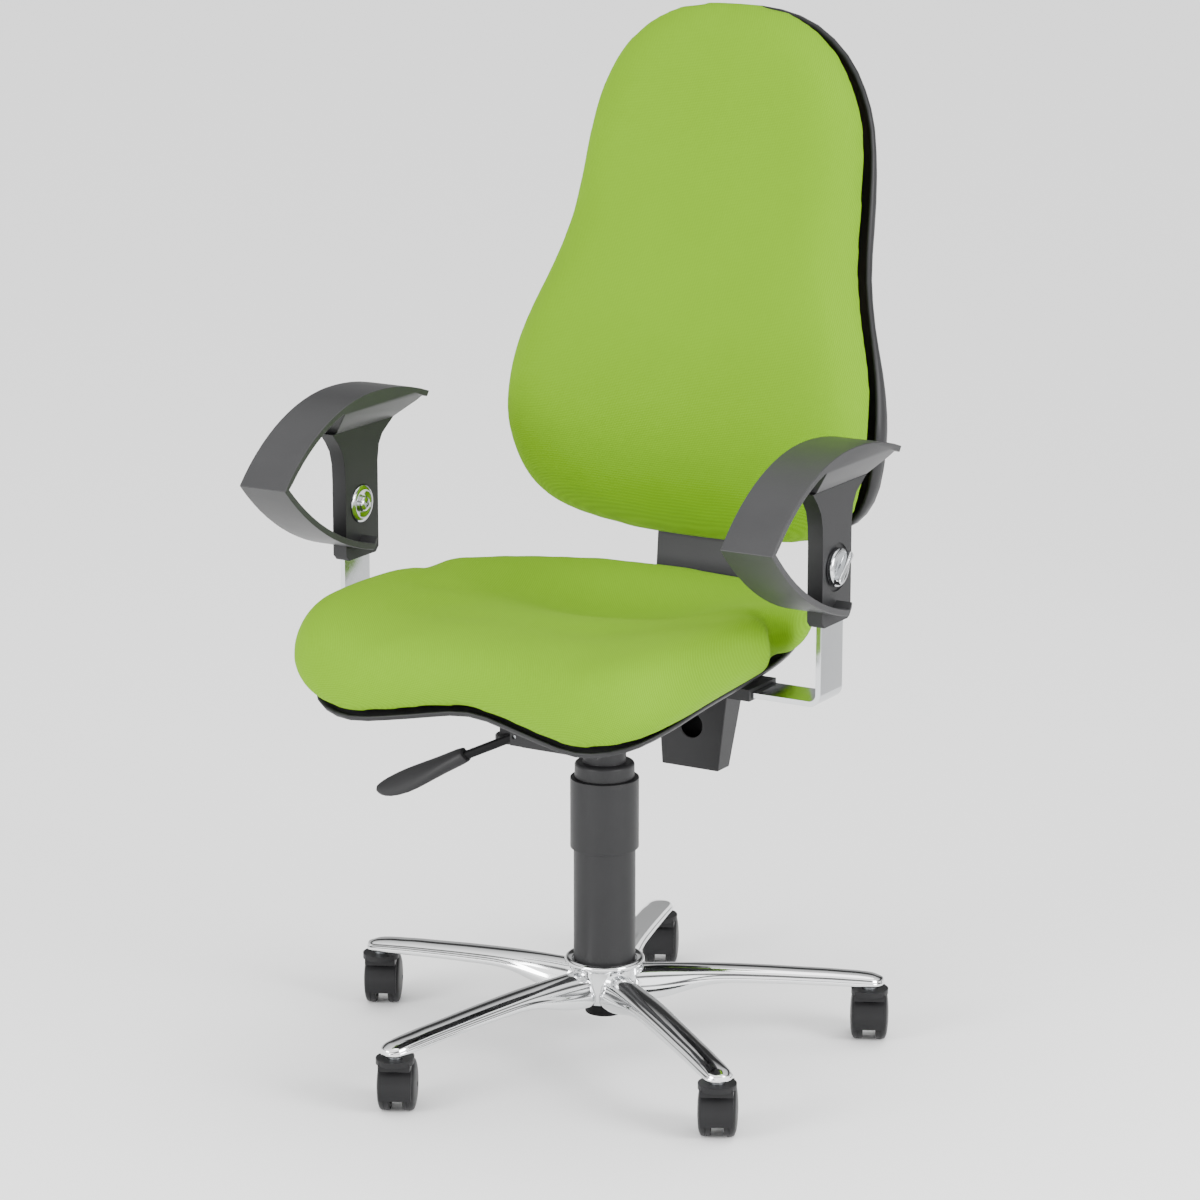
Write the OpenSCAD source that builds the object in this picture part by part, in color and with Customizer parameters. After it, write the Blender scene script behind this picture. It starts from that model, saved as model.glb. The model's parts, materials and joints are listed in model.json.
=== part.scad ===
// Swivel office chair: five-arm base on twin-wheel casters, gas lift, tilt
// mechanism, saddle-edged seat, pear-shaped backrest and ring armrests.
// The origin is on the column axis at floor level; the sitter faces -Y,
// +X is the sitter's left and +Z is up.

/* [Base and casters] */
// Radius of the circle through the caster stems
base_r = 302; // [290:1:315]
// Diameter of a caster wheel
wheel_d = 58; // [56:1:58]
// Width of one wheel
wheel_w = 15.4; // [14:0.1:15.4]
// Gap between the two wheels of a caster
wheel_gap = 13.6; // [13:0.1:14.5]
// Distance from the caster stem to its axle
caster_trail = 22; // [18:1:24]
// Direction in which the casters roll, from +X
caster_heading = 117; // [0:1:359]

/* [Column] */
// Outside diameter of the lower cover tube
cover_d = 69.5; // [66:0.5:70]
// Outside diameter of the sliding sleeve
sleeve_d = 77; // [76:0.5:82]
// Height of the sleeve's lower edge
sleeve_z = 244; // [240:1:250]
// Height of the sleeve's shoulder
sleeve_top_z = 325; // [322:1:330]
// Outside diameter of the gas lift's stand tube
stand_d = 50; // [48:0.5:50]
// Diameter of the gas cylinder
cylinder_d = 28; // [27:0.5:28]

/* [Mechanism] */
// Width of the mechanism housing
mech_w = 96; // [90:1:100]
// Height of the housing's underside
mech_z = 375; // [372:1:380]
// Front-to-back position of the recline pin
pivot_y = 95; // [90:1:100]
// Height of the recline pin
pivot_z = 430; // [420:1:440]

/* [Seat] */
// Height of the underside of the seat shell
seat_z = 480; // [478:1:482]
// Height of the seat's crown
seat_top_z = 540; // [535:1:545]
// Depth of the black lip below the upholstery
lip_h = 9.5; // [8:0.5:11]

/* [Backrest] */
// Thickness of the padding in front of its widest line
pad_front = 38; // [30:1:42]
// Thickness of the plastic shells
shell_t = 3; // [2.5:0.5:4]
// Half-width of the back cover at its lower end
cover_low_hw = 37; // [34:1:40]
// Half-width of the back cover at its upper end
cover_high_hw = 66; // [60:1:70]

/* [Armrests] */
// Distance of each armrest's middle from the centre plane
arm_x = 299; // [295:0.5:305]
// Width of the band
band_w = 60.5; // [54:0.5:64]
// Thickness of the band
band_t = 7; // [5:0.5:8]
// Height of the clamp bolt
clamp_z = 611; // [605:1:615]
// Front-to-back position of the clamp bolt
clamp_y = -43; // [-46:1:-40]
// Width of the flat bar
bar_w = 50; // [45:1:52]
// Thickness of the flat bar
bar_t = 6; // [5:0.5:6]

/* [Hidden] */
$fn = 64;
run = 0.05;              // running clearance on a radius
eps = 0.01;
arms = 5;
arm_angle0 = 180;
soft_gap = 0.6;          // clearance around padding
wheel_r = wheel_d / 2;
wheel_off = wheel_gap / 2 + wheel_w / 2;
stem_r = 5.5;
flange_z = 61.2;
flange_h = 6;
flange_r = 21;
arm_tip_z = 70.5;        // underside of a base arm at its tip
hub_z = 75;
hub_top_z = 116;
hub_r = 38;
stand_z = 50;
stand_top_z = 240;
rod_r = 5;
cyl_z = 165;
cyl_top_z = 420;
cap_h = 18;
bar_x = arm_x + 2.4;     // middle of the flat bar's upright
knob_x = -88;
knob_y = -58;
bar_z = 462;             // underside of the flat bar
bar_bend = 14;
bar_top_z = 652;
bar_end_x = 130;
slot_z = [571.5, 645.5];
holder_x = [84, 222];
holder_slot_x = 112;     // closed end of the channel for the flat bar
holder_screw_x = 97;
holder_screw_y = [-66, -20];
plate_screw_x = [-60, 60];
plate_screw_y = [-100, 80];
post_x = arm_x + 1;
post_t = 18;
post_z = [550, 699];
plate_t = 4;
board_t = 10;
board_z = seat_z + shell_t + 1.5;
pad_z = board_z + board_t + 0.5;
back_bottom = 552;
back_top = 1160;
back_mid_z = 800;

steel = "dimgray";
chrome = "gainsboro";
black = [0.2, 0.2, 0.2];
green = [0.6, 0.77, 0.33];

// ---------- shared geometry ----------

function mix(a, b, t) = a + (b - a) * t;
function ease(t) = let (u = min(1, max(0, t))) u * u * (3 - 2 * u);

// A smooth cubic through four points, at t in 0..1 between the middle two.
function cubic(a, b, c, d, t) =
    b + 0.5 * t * (c - a + t * (2 * a - 5 * b + 4 * c - d + t * (3 * (b - c) + d - a)));

// A closed smooth loop through points, with n steps between neighbours.
function smooth_loop(p, n) = let (k = len(p))
    [for (i = [0:k - 1], j = [0:n - 1])
        cubic(p[(i + k - 1) % k], p[i], p[(i + 1) % k], p[(i + 2) % k], j / n)];

// The full loop of a shape from its +X half, whose ends lie on the centre plane.
function both_halves(half) = let (k = len(half))
    concat(half, [for (i = [k - 2:-1:1]) [-half[i][0], half[i][1], half[i][2]]]);

// Smooth value of column c of a table of rows sorted by their first column.
function row_at(rows, t, i = 0) =
    (i >= len(rows) - 2 || t < rows[i + 1][0]) ? i : row_at(rows, t, i + 1);
function table(rows, t, c) = let (
        i = row_at(rows, t), k = len(rows) - 1,
        u = min(1, max(0, (t - rows[i][0]) / (rows[i + 1][0] - rows[i][0]))))
    cubic(rows[max(i - 1, 0)][c], rows[i][c], rows[i + 1][c], rows[min(i + 2, k)][c], u);

// A closed solid through a stack of equal rings, with a point closing each end.
module loft(rings) {
    n = len(rings[0]);
    m = len(rings);
    function middle(r) = [for (c = [0:2]) let (v = [for (p = r) p[c]]) (max(v) + min(v)) / 2];
    points = concat([for (r = rings) each r], [middle(rings[0]), middle(rings[m - 1])]);
    sides = [for (j = [0:m - 2], i = [0:n - 1]) let (k = (i + 1) % n, a = j * n, b = a + n)
        each [[a + i, b + i, b + k], [a + i, b + k, a + k]]];
    ends = [for (i = [0:n - 1]) let (k = (i + 1) % n, b = (m - 1) * n)
        each [[m * n, i, k], [m * n + 1, b + k, b + i]]];
    polyhedron(points, concat(sides, ends));
}

// A ring or disc with a hole, from z0 up by h.
module tube(r_out, r_in, z0, h) {
    translate([0, 0, z0]) difference() {
        cylinder(r = r_out, h = h);
        translate([0, 0, -1]) cylinder(r = r_in, h = h + 2);
    }
}

// A box given by its two opposite corners.
module block(a, b) { translate(a) cube(b - a); }

// A flat shape with rounded corners, built of two bars and four discs.
module round_rect(w, h, r) {
    square([w - 2 * r, h], center = true);
    square([w, h - 2 * r], center = true);
    for (x = [-1, 1], y = [-1, 1]) translate([x * (w / 2 - r), y * (h / 2 - r)]) circle(r);
}

module at_arm(i) { rotate(arm_angle0 + 72 * (i - 1)) children(); }

// Places a caster: its own X axis is the axle, its Y axis points to the axle from the stem.
module at_caster(i) {
    a = arm_angle0 + 72 * (i - 1);
    translate([base_r * cos(a), base_r * sin(a), 0]) rotate(caster_heading - 90) children();
}

// Lays children out as the sitter's left (+1) or right (-1) armrest.
module on_side(s) { if (s > 0) children(); else mirror([1, 0, 0]) children(); }

// ---------- base and casters ----------

// Top and underside of a base arm at distance r from the axis.
arm_top = [[30, 105], [100, 103], [175, 98], [255, 91], [300, 86], [318, 80]];
arm_low = [[30, 66], [62, 68], [118, 82], [175, 81], [255, 75.5], [318, 70.5]];

module base_arm() {
    tip = 16;
    steps = [for (k = [0:12]) mix(30, base_r + tip, k / 12)];
    side = concat([for (r = steps) [r, table(arm_top, r, 1)]],
                  [for (k = [12:-1:0]) [steps[k], table(arm_low, steps[k], 1)]]);
    intersection() {
        rotate([90, 0, 0]) translate([0, 0, -30]) linear_extrude(60) polygon(side);
        linear_extrude(200) {
            polygon([[30, -21], [base_r, -tip], [base_r, tip], [30, 21]]);
            translate([base_r, 0]) circle(tip);
        }
    }
}

module star_base() {
    color(chrome) difference() {
        union() {
            for (i = [1:arms]) at_arm(i) base_arm();
            translate([0, 0, hub_z - 9]) cylinder(r = hub_r, h = hub_top_z - hub_z + 5);
            translate([0, 0, hub_top_z - 8]) rotate_extrude() {
                square([41, 5]);
                translate([37, 4]) circle(4);
                square([37, 8]);
            }
        }
        translate([0, 0, hub_top_z - 3]) cylinder(d = cover_d + 0.4, h = 10);
        translate([0, 0, hub_z + 10]) cylinder(d = stand_d, h = 60);
        translate([0, 0, 40]) cylinder(r = 21.75, h = 60);
        for (i = [1:arms]) at_arm(i) translate([base_r, 0, arm_tip_z - 10])
            cylinder(r = stem_r, h = 21);
    }
}

module caster_stems() {
    color(steel) for (i = [1:arms]) at_caster(i) {
        translate([0, 0, 54]) cylinder(r = stem_r, h = 27);
        translate([0, 0, flange_z + flange_h + 0.2]) cylinder(r = 8, h = 3.1);
    }
}

// The space that the two wheels turn in.
module wheel_room() {
    for (s = [-1, 1]) translate([s * wheel_off, caster_trail, wheel_r]) rotate([0, 90, 0])
        cylinder(r = wheel_r + 0.7, h = wheel_w + 0.8, center = true);
}

module caster_hood(i) {
    shell_r = wheel_r + 3;
    color(black) at_caster(i) {
        difference() {
            union() {
                translate([0, 0, flange_z]) cylinder(r = flange_r, h = flange_h);
                intersection() {
                    translate([0, caster_trail, wheel_r]) rotate([0, 90, 0])
                        cylinder(r = shell_r, h = 35, center = true);
                    block([-20, -20, 19], [20, caster_trail + 12, flange_z + 1]);
                }
                block([-17.5, -14, 55], [17.5, caster_trail + 6, flange_z + 1]);
            }
            wheel_room();
            translate([0, 0, 50]) cylinder(r = stem_r + run, h = 30);
            translate([0, 0, 0]) block([-20, caster_trail - 8, -1], [20, 99, wheel_r - 9]);
        }
        translate([0, caster_trail, wheel_r]) rotate([0, 90, 0])
            cylinder(r = 3, h = 2 * wheel_off + wheel_w - 4, center = true);
    }
}

// s is +1 for the wheel on the caster's +X side.
module caster_wheel(i, s) {
    w = wheel_w;
    r = wheel_r;
    color(black) at_caster(i) translate([0, caster_trail, r]) rotate([0, 90 * s, 0])
        translate([0, 0, wheel_gap / 2]) rotate_extrude($fn = 64) difference() {
            union() {
                translate([3 + run, 0]) square([r - 3 - run, w - 5.6]);
                translate([3 + run, w - 6]) square([r - 8.6 - run, 3.4]);
                translate([3 + run, w - 4]) square([13, 4]);
                translate([r - 5.6, w - 5.6]) circle(5.6);
            }
            translate([-r, -r]) square([2 * r, r]);
            translate([9, -1]) square([r - 15, 3]);
        }
}

// ---------- column ----------

module stand_tube() {
    color(black) difference() {
        union() {
            translate([0, 0, stand_z]) cylinder(r = 21.75, h = 45);
            translate([0, 0, hub_z + 10]) cylinder(d = stand_d, h = stand_top_z - hub_z - 10);
        }
        translate([0, 0, stand_z + 12]) cylinder(r = 19.5, h = 40);
        translate([0, 0, hub_z + 14]) cylinder(r = 22.5, h = 300);
        translate([0, 0, 40]) cylinder(r = rod_r + run, h = 60);
        translate([0, 0, stand_z - 1]) cylinder(r = 12, h = 7);
    }
}

module guide_bush() {
    color("ivory") tube(22.5, cylinder_d / 2 + run, 130, stand_top_z - 130);
}

module thrust_bearing() {
    color("silver") tube(13, rod_r + run, stand_z + 12, 8);
}

module piston_rod() {
    color("silver") {
        translate([0, 0, stand_z + 1]) cylinder(r = rod_r, h = 273);
        tube(11.4, rod_r - 1, 318, 6);
    }
}

module rod_clip() {
    color(steel) tube(10, rod_r, stand_z + 2, 2);
}

module gas_cylinder() {
    color(black) difference() {
        translate([0, 0, cyl_z]) cylinder(d = cylinder_d, h = cyl_top_z - cyl_z);
        translate([0, 0, cyl_z - 1]) cylinder(r = rod_r + run, h = 20);
        translate([0, 0, cyl_z + 12]) cylinder(r = 11.5, h = cyl_top_z - cyl_z - 27);
        translate([0, 0, cyl_z + 20]) cylinder(r = 3 + run, h = 300);
    }
}

module release_pin() {
    color("silver") translate([0, 0, cyl_top_z - 9]) cylinder(r = 3, h = 15);
}

module lower_cover_tube() {
    color(black) tube(cover_d / 2, cover_d / 2 - 2.2, hub_top_z - 3, 250 - hub_top_z + 3);
}

module cover_sleeve() {
    color(black) {
        tube(sleeve_d / 2, sleeve_d / 2 - 2.2, sleeve_z, sleeve_top_z - sleeve_z);
        tube(sleeve_d / 2 - 1, cylinder_d / 2 + 8, sleeve_top_z - 2, 2);
    }
}

module cover_cap() {
    color(black) translate([0, 0, sleeve_top_z]) difference() {
        union() {
            cylinder(r = 33.5, h = cap_h - 4);
            translate([0, 0, cap_h - 4]) rotate_extrude() {
                translate([29.5, 0]) intersection() { circle(4); square(5); }
                square([29.5, 4]);
            }
            cylinder(r = 24, h = mech_z - sleeve_top_z);
        }
        translate([0, 0, -1]) cylinder(r = cylinder_d / 2 + 1, h = 60);
        translate([0, 0, -1]) cylinder(r = 31, h = 12);
    }
}

// ---------- mechanism ----------

module mechanism_housing() {
    hw = mech_w / 2;
    top = seat_z - plate_t;
    color(black) difference() {
        union() {
            block([-hw, -97, mech_z], [hw, pivot_y - 22, top]);
            for (s = [-1, 1]) block([s > 0 ? hw - 10 : -hw, pivot_y - 23, pivot_z - 18],
                                    [s > 0 ? hw : 10 - hw, pivot_y + 14, pivot_z + 18]);
            for (y = [-96, -74]) block([-hw - 16, y, mech_z], [-hw + 1, y + 4, mech_z + 20]);
            block([knob_x - 8, knob_y - 8, mech_z + 3], [-hw + 1, knob_y + 8, mech_z + 9]);
        }
        block([5 - hw, -92, mech_z + 5], [hw - 5, pivot_y - 27, top - 4]);
        translate([0, 0, mech_z - 1]) cylinder(d = cylinder_d, h = 20);
        translate([0, pivot_y, pivot_z]) rotate([0, 90, 0])
            cylinder(r = 6, h = 2 * hw + 2, center = true);
        translate([-hw - 11, -70, mech_z + 10]) rotate([90, 0, 0]) cylinder(r = 2.5, h = 30);
        translate([knob_x, knob_y, mech_z]) cylinder(r = 4 + run, h = 20);
    }
}

module seat_plate() {
    color(steel) difference() {
        block([-80, -120, seat_z - plate_t], [80, 100, seat_z]);
        screw_holes(seat_z - 10, 20);
    }
}

module recline_pin() {
    color("silver") translate([0, pivot_y, pivot_z]) rotate([0, 90, 0])
        cylinder(r = 6, h = mech_w + 4, center = true);
}

// A coil spring inside the housing that carries the backrest's load.
module recline_spring() {
    turns = 6;
    per_turn = 14;
    r = 13;
    wire = 2;
    pitch = 8;
    count = turns * per_turn;
    rings = [for (k = [0:count]) let (a = 360 * k / per_turn, y = -10 + pitch * k / per_turn)
        [for (q = [0:7]) let (b = 360 * q / 8, rr = r + wire * cos(b))
            [rr * cos(a), y + wire * sin(b), rr * sin(a)]]];
    color(steel) translate([-26, 0, pivot_z]) loft(rings);
}

lever_x = -mech_w / 2 - 11;
lever_y = -84;
lever_z = mech_z + 10;

module lift_lever() {
    tip = [-128, -95, 352];
    d = tip - [lever_x, lever_y, lever_z];
    color(black) difference() {
        union() {
            translate([lever_x, lever_y + 5.5, lever_z]) rotate([90, 0, 0]) cylinder(r = 7, h = 11);
            translate([lever_x, lever_y, lever_z])
                rotate([0, acos(d[2] / norm(d)), atan2(d[1], d[0])]) cylinder(r = 5, h = norm(d) + 14);
        }
        translate([lever_x, lever_y + 15, lever_z]) rotate([90, 0, 0])
            cylinder(r = 2.5 + run, h = 30);
    }
}

// The handle: a socket for the rod that flattens to a broad upturned tip.
module lever_paddle() {
    path = [[-126, -95, 354, 11, 9.5], [-150, -98, 341, 12.5, 9.5], [-172, -101, 328, 15, 8],
            [-196, -103, 313, 18, 6], [-217, -105, 305, 17, 4.5], [-234, -106, 303, 6, 2.5]];
    rings = [for (k = [0:len(path) - 1]) let (p = path[k], a = k < 4 ? 32 : 5)
        [for (q = [0:19]) let (b = -18 * q)
            [p[0] - p[4] * sin(b) * sin(a), p[1] + p[3] * cos(b), p[2] + p[4] * sin(b) * cos(a)]]];
    tip = [-128, -95, 352];
    d = tip - [lever_x, lever_y, lever_z];
    color(black) difference() {
        loft(rings);
        translate([lever_x, lever_y, lever_z])
            rotate([0, acos(d[2] / norm(d)), atan2(d[1], d[0])]) cylinder(r = 5, h = norm(d) + 14);
    }
}

module lever_pin() {
    color("silver") translate([lever_x, lever_y + 9.5, lever_z]) rotate([90, 0, 0])
        cylinder(r = 2.5, h = 19);
}

module tension_knob() {
    color(black) translate([knob_x, knob_y, 0]) {
        translate([0, 0, mech_z - 8]) cylinder(r = 16, h = 9);
        translate([0, 0, mech_z]) cylinder(r = 4, h = 16);
    }
}

// ---------- seat ----------

// Half of the shell's rim, from the front centre round to the rear centre.
rim_half = [[0, -283, 468], [70, -290, 457], [142, -299, 447], [192, -282, 455],
            [216, -235, 468], [221, -160, 478], [221, -60, 484], [214, 20, 487],
            [196, 92, 490], [160, 142, 494], [90, 163, 498], [0, 168, 500]];
// Half of the upholstery's widest line, point for point with the rim.
bulge_half = [[0, -298, 494], [72, -304, 486], [142, -313, 480], [208, -297, 487],
              [242, -248, 500], [252, -170, 509], [253, -80, 513], [246, 0, 515],
              [225, 74, 516], [186, 130, 517], [108, 166, 518], [0, 179, 518]];
rim = smooth_loop(both_halves(rim_half), 3);
bulge = smooth_loop(both_halves(bulge_half), 3);
seat_mid = [0, -60];

// The rim's plan drawn in to scale s, at a height given by mixing z0 and the rim's own
// height (raised by dz) in the share t.
function rim_ring(s, z0, dz, t) = [for (p = rim)
    [mix(seat_mid[0], p[0], s), mix(seat_mid[1], p[1], s), mix(z0, p[2] + dz, t)]];

// Height of the sitting surface: a dish at the back, a roll under the thighs, and a
// valley between them that deepens towards the sides.
function seat_surface(x, y) = let (
        valley_y = -190 + 0.0035 * x * x,
        dish = 15 * exp(-pow(x / 140, 2) - pow((y - 10) / 100, 2)),
        valley = 5 * exp(-pow((y - valley_y) / 30, 2)),
        nose = 15 * ease((-y - 200) / 120),
        bolster = 11 * ease((abs(x) - 110) / 100) * ease((150 - y) / 160))
    seat_top_z - dish - valley - nose + bolster;

function top_ring(s, t) = [for (p = bulge) let (
        x = mix(seat_mid[0], p[0], s), y = mix(seat_mid[1], p[1], s))
    [x, y, mix(p[2], seat_surface(x, y), t)]];

// Holes for the screws of the seat plate and of the armrest holders.
module screw_holes(z, h) {
    for (x = plate_screw_x, y = plate_screw_y) translate([x, y, z]) cylinder(r = 3.2, h = h);
    for (x = [-1, 1], y = holder_screw_y) translate([x * holder_screw_x, y, z])
        cylinder(r = 2.7, h = h);
}

module seat_shell() {
    steps = [[0.05, 0], [0.5, 0], [0.8, 0], [0.88, 0.5], [0.96, 0.98]];
    outer = [for (q = steps) rim_ring(q[0], seat_z, -lip_h, q[1])];
    lip = [rim_ring(0.99, seat_z, -lip_h + 2, 1), rim_ring(1, seat_z, -2, 1),
           rim_ring(0.992, seat_z, -0.5, 1), rim_ring(0.975, seat_z, -2, 1)];
    inner = [for (k = [len(steps) - 1:-1:0]) let (q = steps[k])
        rim_ring(q[0], seat_z + shell_t, shell_t - lip_h, q[1])];
    color(black) difference() {
        loft(concat(outer, lip, inner));
        screw_holes(seat_z - 5, 20);
    }
}

module seat_board() {
    plan = [for (p = rim) [p[0] * 0.76, mix(seat_mid[1], p[1], 0.76)]];
    color("burlywood") difference() {
        translate([0, 0, board_z]) linear_extrude(board_t) polygon(plan);
        screw_holes(board_z - 5, 20);
    }
}

module seat_cushion() {
    under = [rim_ring(0.05, pad_z, 1, 0), rim_ring(0.76, pad_z, 1, 0),
             rim_ring(0.88, pad_z, 1, 0.45), rim_ring(0.985, pad_z, soft_gap, 1)];
    side = [for (t = [0.45, 0.8]) [for (i = [0:len(rim) - 1])
        let (p = mix(rim[i], bulge[i], t), h = mix(rim[i][2], bulge[i][2], t * t))
        [p[0], p[1], h]]];
    top = [for (q = [[1, 0], [0.99, 0.42], [0.965, 0.72], [0.92, 0.93], [0.84, 1], [0.66, 1],
                     [0.46, 1], [0.26, 1], [0.06, 1]]) top_ring(q[0], q[1])];
    color(green) loft(concat(under, side, top));
}

// Screws of the seat plate and of the two armrest holders.
module seat_screws() {
    color("silver") {
        for (x = plate_screw_x, y = plate_screw_y) translate([x, y, seat_z - plate_t - 4]) {
            cylinder(r = 5.5, h = 4);
            translate([0, 0, 3]) cylinder(r = 3, h = 16);
        }
        for (x = [-1, 1], y = holder_screw_y) translate([x * holder_screw_x, y, bar_z - 6]) {
            cylinder(r = 4.5, h = 3);
            translate([0, 0, 2]) cylinder(r = 2.5, h = 34);
        }
    }
}

// ---------- armrests ----------

// A holder under the seat: a block with a slot that the flat bar slides in.
module arm_holder(s) {
    bar_y = [clamp_y - bar_w / 2, clamp_y + bar_w / 2];
    color(black) on_side(s) difference() {
        union() {
            block([holder_x[0], bar_y[0] - 5, bar_z - 3], [holder_x[1], bar_y[1] + 5, bar_z + 10]);
            block([holder_x[0], bar_y[0] - 1, bar_z + 9], [holder_x[1] - 52, bar_y[1] + 1, seat_z]);
        }
        block([holder_slot_x, bar_y[0] - 0.2, bar_z - 0.2],
              [holder_x[1] + 1, bar_y[1] + 0.2, bar_z + bar_t + 0.2]);
        for (y = holder_screw_y) translate([holder_screw_x, y, bar_z - 10])
            cylinder(r = 2.7, h = 60);
    }
}

module flat_bar(s) {
    x1 = bar_x + bar_t / 2;
    color(chrome) on_side(s) difference() {
        translate([0, clamp_y + bar_w / 2, 0]) rotate([90, 0, 0]) linear_extrude(bar_w) {
            translate([bar_end_x, bar_z]) square([x1 - bar_bend - bar_end_x, bar_t]);
            translate([x1 - bar_t, bar_z + bar_bend]) square([bar_t, bar_top_z - bar_z - bar_bend]);
            translate([x1 - bar_bend, bar_z + bar_bend]) difference() {
                intersection() {
                    circle(bar_bend);
                    translate([0, -bar_bend]) square(bar_bend);
                }
                circle(bar_bend - bar_t);
            }
        }
        translate([bar_x - 10, clamp_y - 4.2, slot_z[0] + 4.2])
            cube([20, 8.4, slot_z[1] - slot_z[0] - 8.4]);
        for (z = [slot_z[0] + 4.2, slot_z[1] - 4.2]) translate([bar_x - 10, clamp_y, z])
            rotate([0, 90, 0]) cylinder(r = 4.2, h = 20);
    }
}

// The sleeve's side outline: parallel below, flaring like a trumpet at the top.
post_front = [[-75, 556], [-75, 640], [-76, 660], [-80, 675], [-88, 687], [-99, 699]];
post_rear = [[23, 699], [12, 692], [0, 684], [-7, 673], [-10, 655], [-10, 556]];

module arm_post(s) {
    bore_y = [clamp_y - bar_w / 2 - 0.2, clamp_y + bar_w / 2 + 0.2];
    color(black) on_side(s) difference() {
        translate([post_x - post_t / 2, 0, 0]) rotate([90, 0, 90]) linear_extrude(post_t)
            polygon(concat([[-69, post_z[0]]], post_front, post_rear, [[-16, post_z[0]]]));
        block([bar_x - bar_t / 2 - 0.2, bore_y[0], 500], [bar_x + bar_t / 2 + 0.2, bore_y[1], 688]);
        translate([200, clamp_y, clamp_z]) rotate([0, 90, 0]) cylinder(r = 4 + run, h = 200);
        translate([post_x + post_t / 2 - 2, clamp_y, clamp_z]) rotate([0, 90, 0])
            cylinder(r = 26, h = 20);
        translate([post_x - post_t / 2 - 18, clamp_y, clamp_z]) rotate([0, 90, 0])
            cylinder(r = 22, h = 20);
    }
}

// Points along a circular arc from p to q that bulges to the left of that direction.
function arc(p, q, r, n) = let (
        d = q - p, l = norm(d), m = (p + q) / 2,
        c = m + [d[1], -d[0]] / l * sqrt(r * r - l * l / 4),
        a0 = atan2(p[1] - c[1], p[0] - c[0]), a1 = atan2(q[1] - c[1], q[0] - c[0]),
        sweep = (a1 - a0) - 360 * round((a1 - a0) / 360))
    [for (k = [0:n]) c + r * [cos(a0 + sweep * k / n), sin(a0 + sweep * k / n)]];

function rest_of(v) = [for (i = [1:len(v) - 1]) v[i]];

band_tip = [64, 724];
band_apex = [-41, 742];
band_nose = [-224, 661];
band_end = [-52, 562];
// The band's outer line, from the free end under the post round the nose to the rear tip.
band_line = concat(arc(band_end, band_nose, 321, 12), rest_of(arc(band_nose, band_apex, 240, 14)),
                   rest_of(arc(band_apex, band_tip, 315, 6)));

// The side outline of everything inside the band's outer line, drawn in by t.
module band_outline(t) {
    n = len(band_line);
    inner = [for (i = [0:n - 1]) let (
            a = band_line[max(i - 1, 0)], b = band_line[min(i + 1, n - 1)],
            d = (b - a) / norm(b - a),
            nose = norm(band_line[i] - band_nose) < 1 ? 1.25 : 1)
        band_line[i] + t * nose * [d[1], -d[0]]];
    polygon(inner);
}

module arm_band(s) {
    color(black) on_side(s) {
        difference() {
            translate([arm_x - band_w / 2, 0, 0]) rotate([90, 0, 90]) linear_extrude(band_w)
                difference() {
                    band_outline(0);
                    band_outline(band_t);
                    polygon([[-52, 540], [80, 540], [80, 722], [66, 722], [60, 712], [-40, 600]]);
                }
            block([post_x - post_t / 2 - 0.1, -75.1, 540], [post_x + post_t / 2 + 0.1, -40, 640]);
        }
        intersection() {
            rotate([90, 0, 90]) linear_extrude(400) polygon([[-92, post_z[1]], [23, post_z[1]],
                [36, 706], [52, 714], [62, 725], [62, 745], [-112, 745], [-112, 733]]);
            translate([arm_x, 0, 0]) rotate([90, 0, 0]) translate([0, 0, -200]) linear_extrude(400)
                polygon([[1 - post_t / 2, post_z[1]], [1 + post_t / 2, post_z[1]],
                         [band_w / 2, post_z[1] + 26], [band_w / 2, 760],
                         [-band_w / 2, 760], [-band_w / 2, post_z[1] + 26]]);
            translate([arm_x - band_w / 2, 0, 0]) rotate([90, 0, 90]) linear_extrude(band_w)
                band_outline(band_t / 2);
        }
    }
}

// Round-headed bolt and its dished washer on the inner side of the sleeve.
module clamp_bolt(s) {
    x0 = post_x - post_t / 2 + 2;
    color(chrome) on_side(s) translate([x0, clamp_y, clamp_z]) rotate([0, -90, 0]) {
        cylinder(r = 21.5, h = 3);
        cylinder(r1 = 21.5, r2 = 16, h = 6);
        translate([0, 0, 5]) cylinder(r = 8, h = 4);
        translate([0, 0, -19]) cylinder(r = 4, h = 20);
    }
}

// Clamp knob on the outer side, with a bar grip across its face.
module wing_knob(s) {
    x0 = post_x + post_t / 2 - 2 + 0.3;
    color(chrome) on_side(s) translate([x0, clamp_y, clamp_z]) rotate([0, 90, 0]) difference() {
        union() {
            cylinder(r = 22, h = 6);
            translate([0, 0, 6]) cylinder(r1 = 22, r2 = 18, h = 2);
            rotate(45) translate([0, 0, 7]) linear_extrude(7) round_rect(40, 9, 4.2);
        }
        translate([0, 0, -1]) cylinder(r = 4 + run, h = 9);
    }
}

// ---------- backrest ----------

// Half of the backrest's outline seen from the front, from the bottom to the top.
back_half = [[0, 552], [70, 554], [134, 563], [180, 577], [209, 600], [228, 635],
             [238, 680], [239, 715], [233, 765], [218, 815], [201, 865], [190, 920],
             [184, 980], [177, 1030], [163, 1072], [140, 1110], [100, 1142], [52, 1157], [0, 1160]];
back_outline = smooth_loop(both_halves([for (p = back_half) [p[0], p[1], 0]]), 2);
// Depth of the widest line at each height: out for the small of the back, then away.
spine = [[552, 205], [620, 188], [680, 177], [740, 184], [800, 198], [860, 220],
         [920, 245], [980, 262], [1040, 273], [1160, 277]];
// How far the rear shell's edge stands behind that line.
shell_back = [[552, 46], [640, 56], [700, 53], [800, 34], [860, 34], [930, 38], [1000, 33], [1160, 27]];

function back_base(x, z) = table(spine, z, 1) + 12 * (1 - min(1, pow(x / 235, 2)));

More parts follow.
